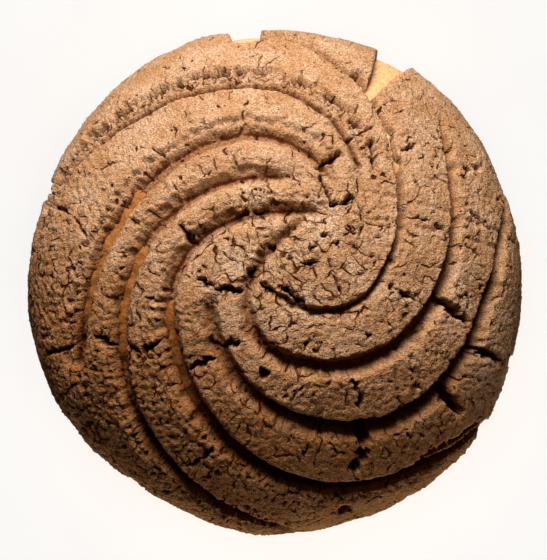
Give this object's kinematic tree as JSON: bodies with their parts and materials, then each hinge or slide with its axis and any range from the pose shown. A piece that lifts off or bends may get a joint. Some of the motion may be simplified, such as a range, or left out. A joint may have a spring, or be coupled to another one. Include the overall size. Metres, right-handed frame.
{
  "type": "concha sweet bun",
  "caption": "Round domed sweet bun under a cracked cocoa sugar topping pressed into a pinwheel of curved grooves, flat underneath; a baked roll to serve on a plate or tray.",
  "frame": {"origin": "middle of the flat base, on the floor", "axes": "+Z up through the dome; the pictured front faces -Y, so +X is right and +Y is up in the picture"},
  "size_m": [0.1105, 0.1131, 0.052],
  "materials": {
    "baked_bread": null,
    "cocoa_sugar_topping": null
  },
  "bodies": {
    "root": {"bun": "baked_bread", "topping": "cocoa_sugar_topping"}
  },
  "joints": []
}
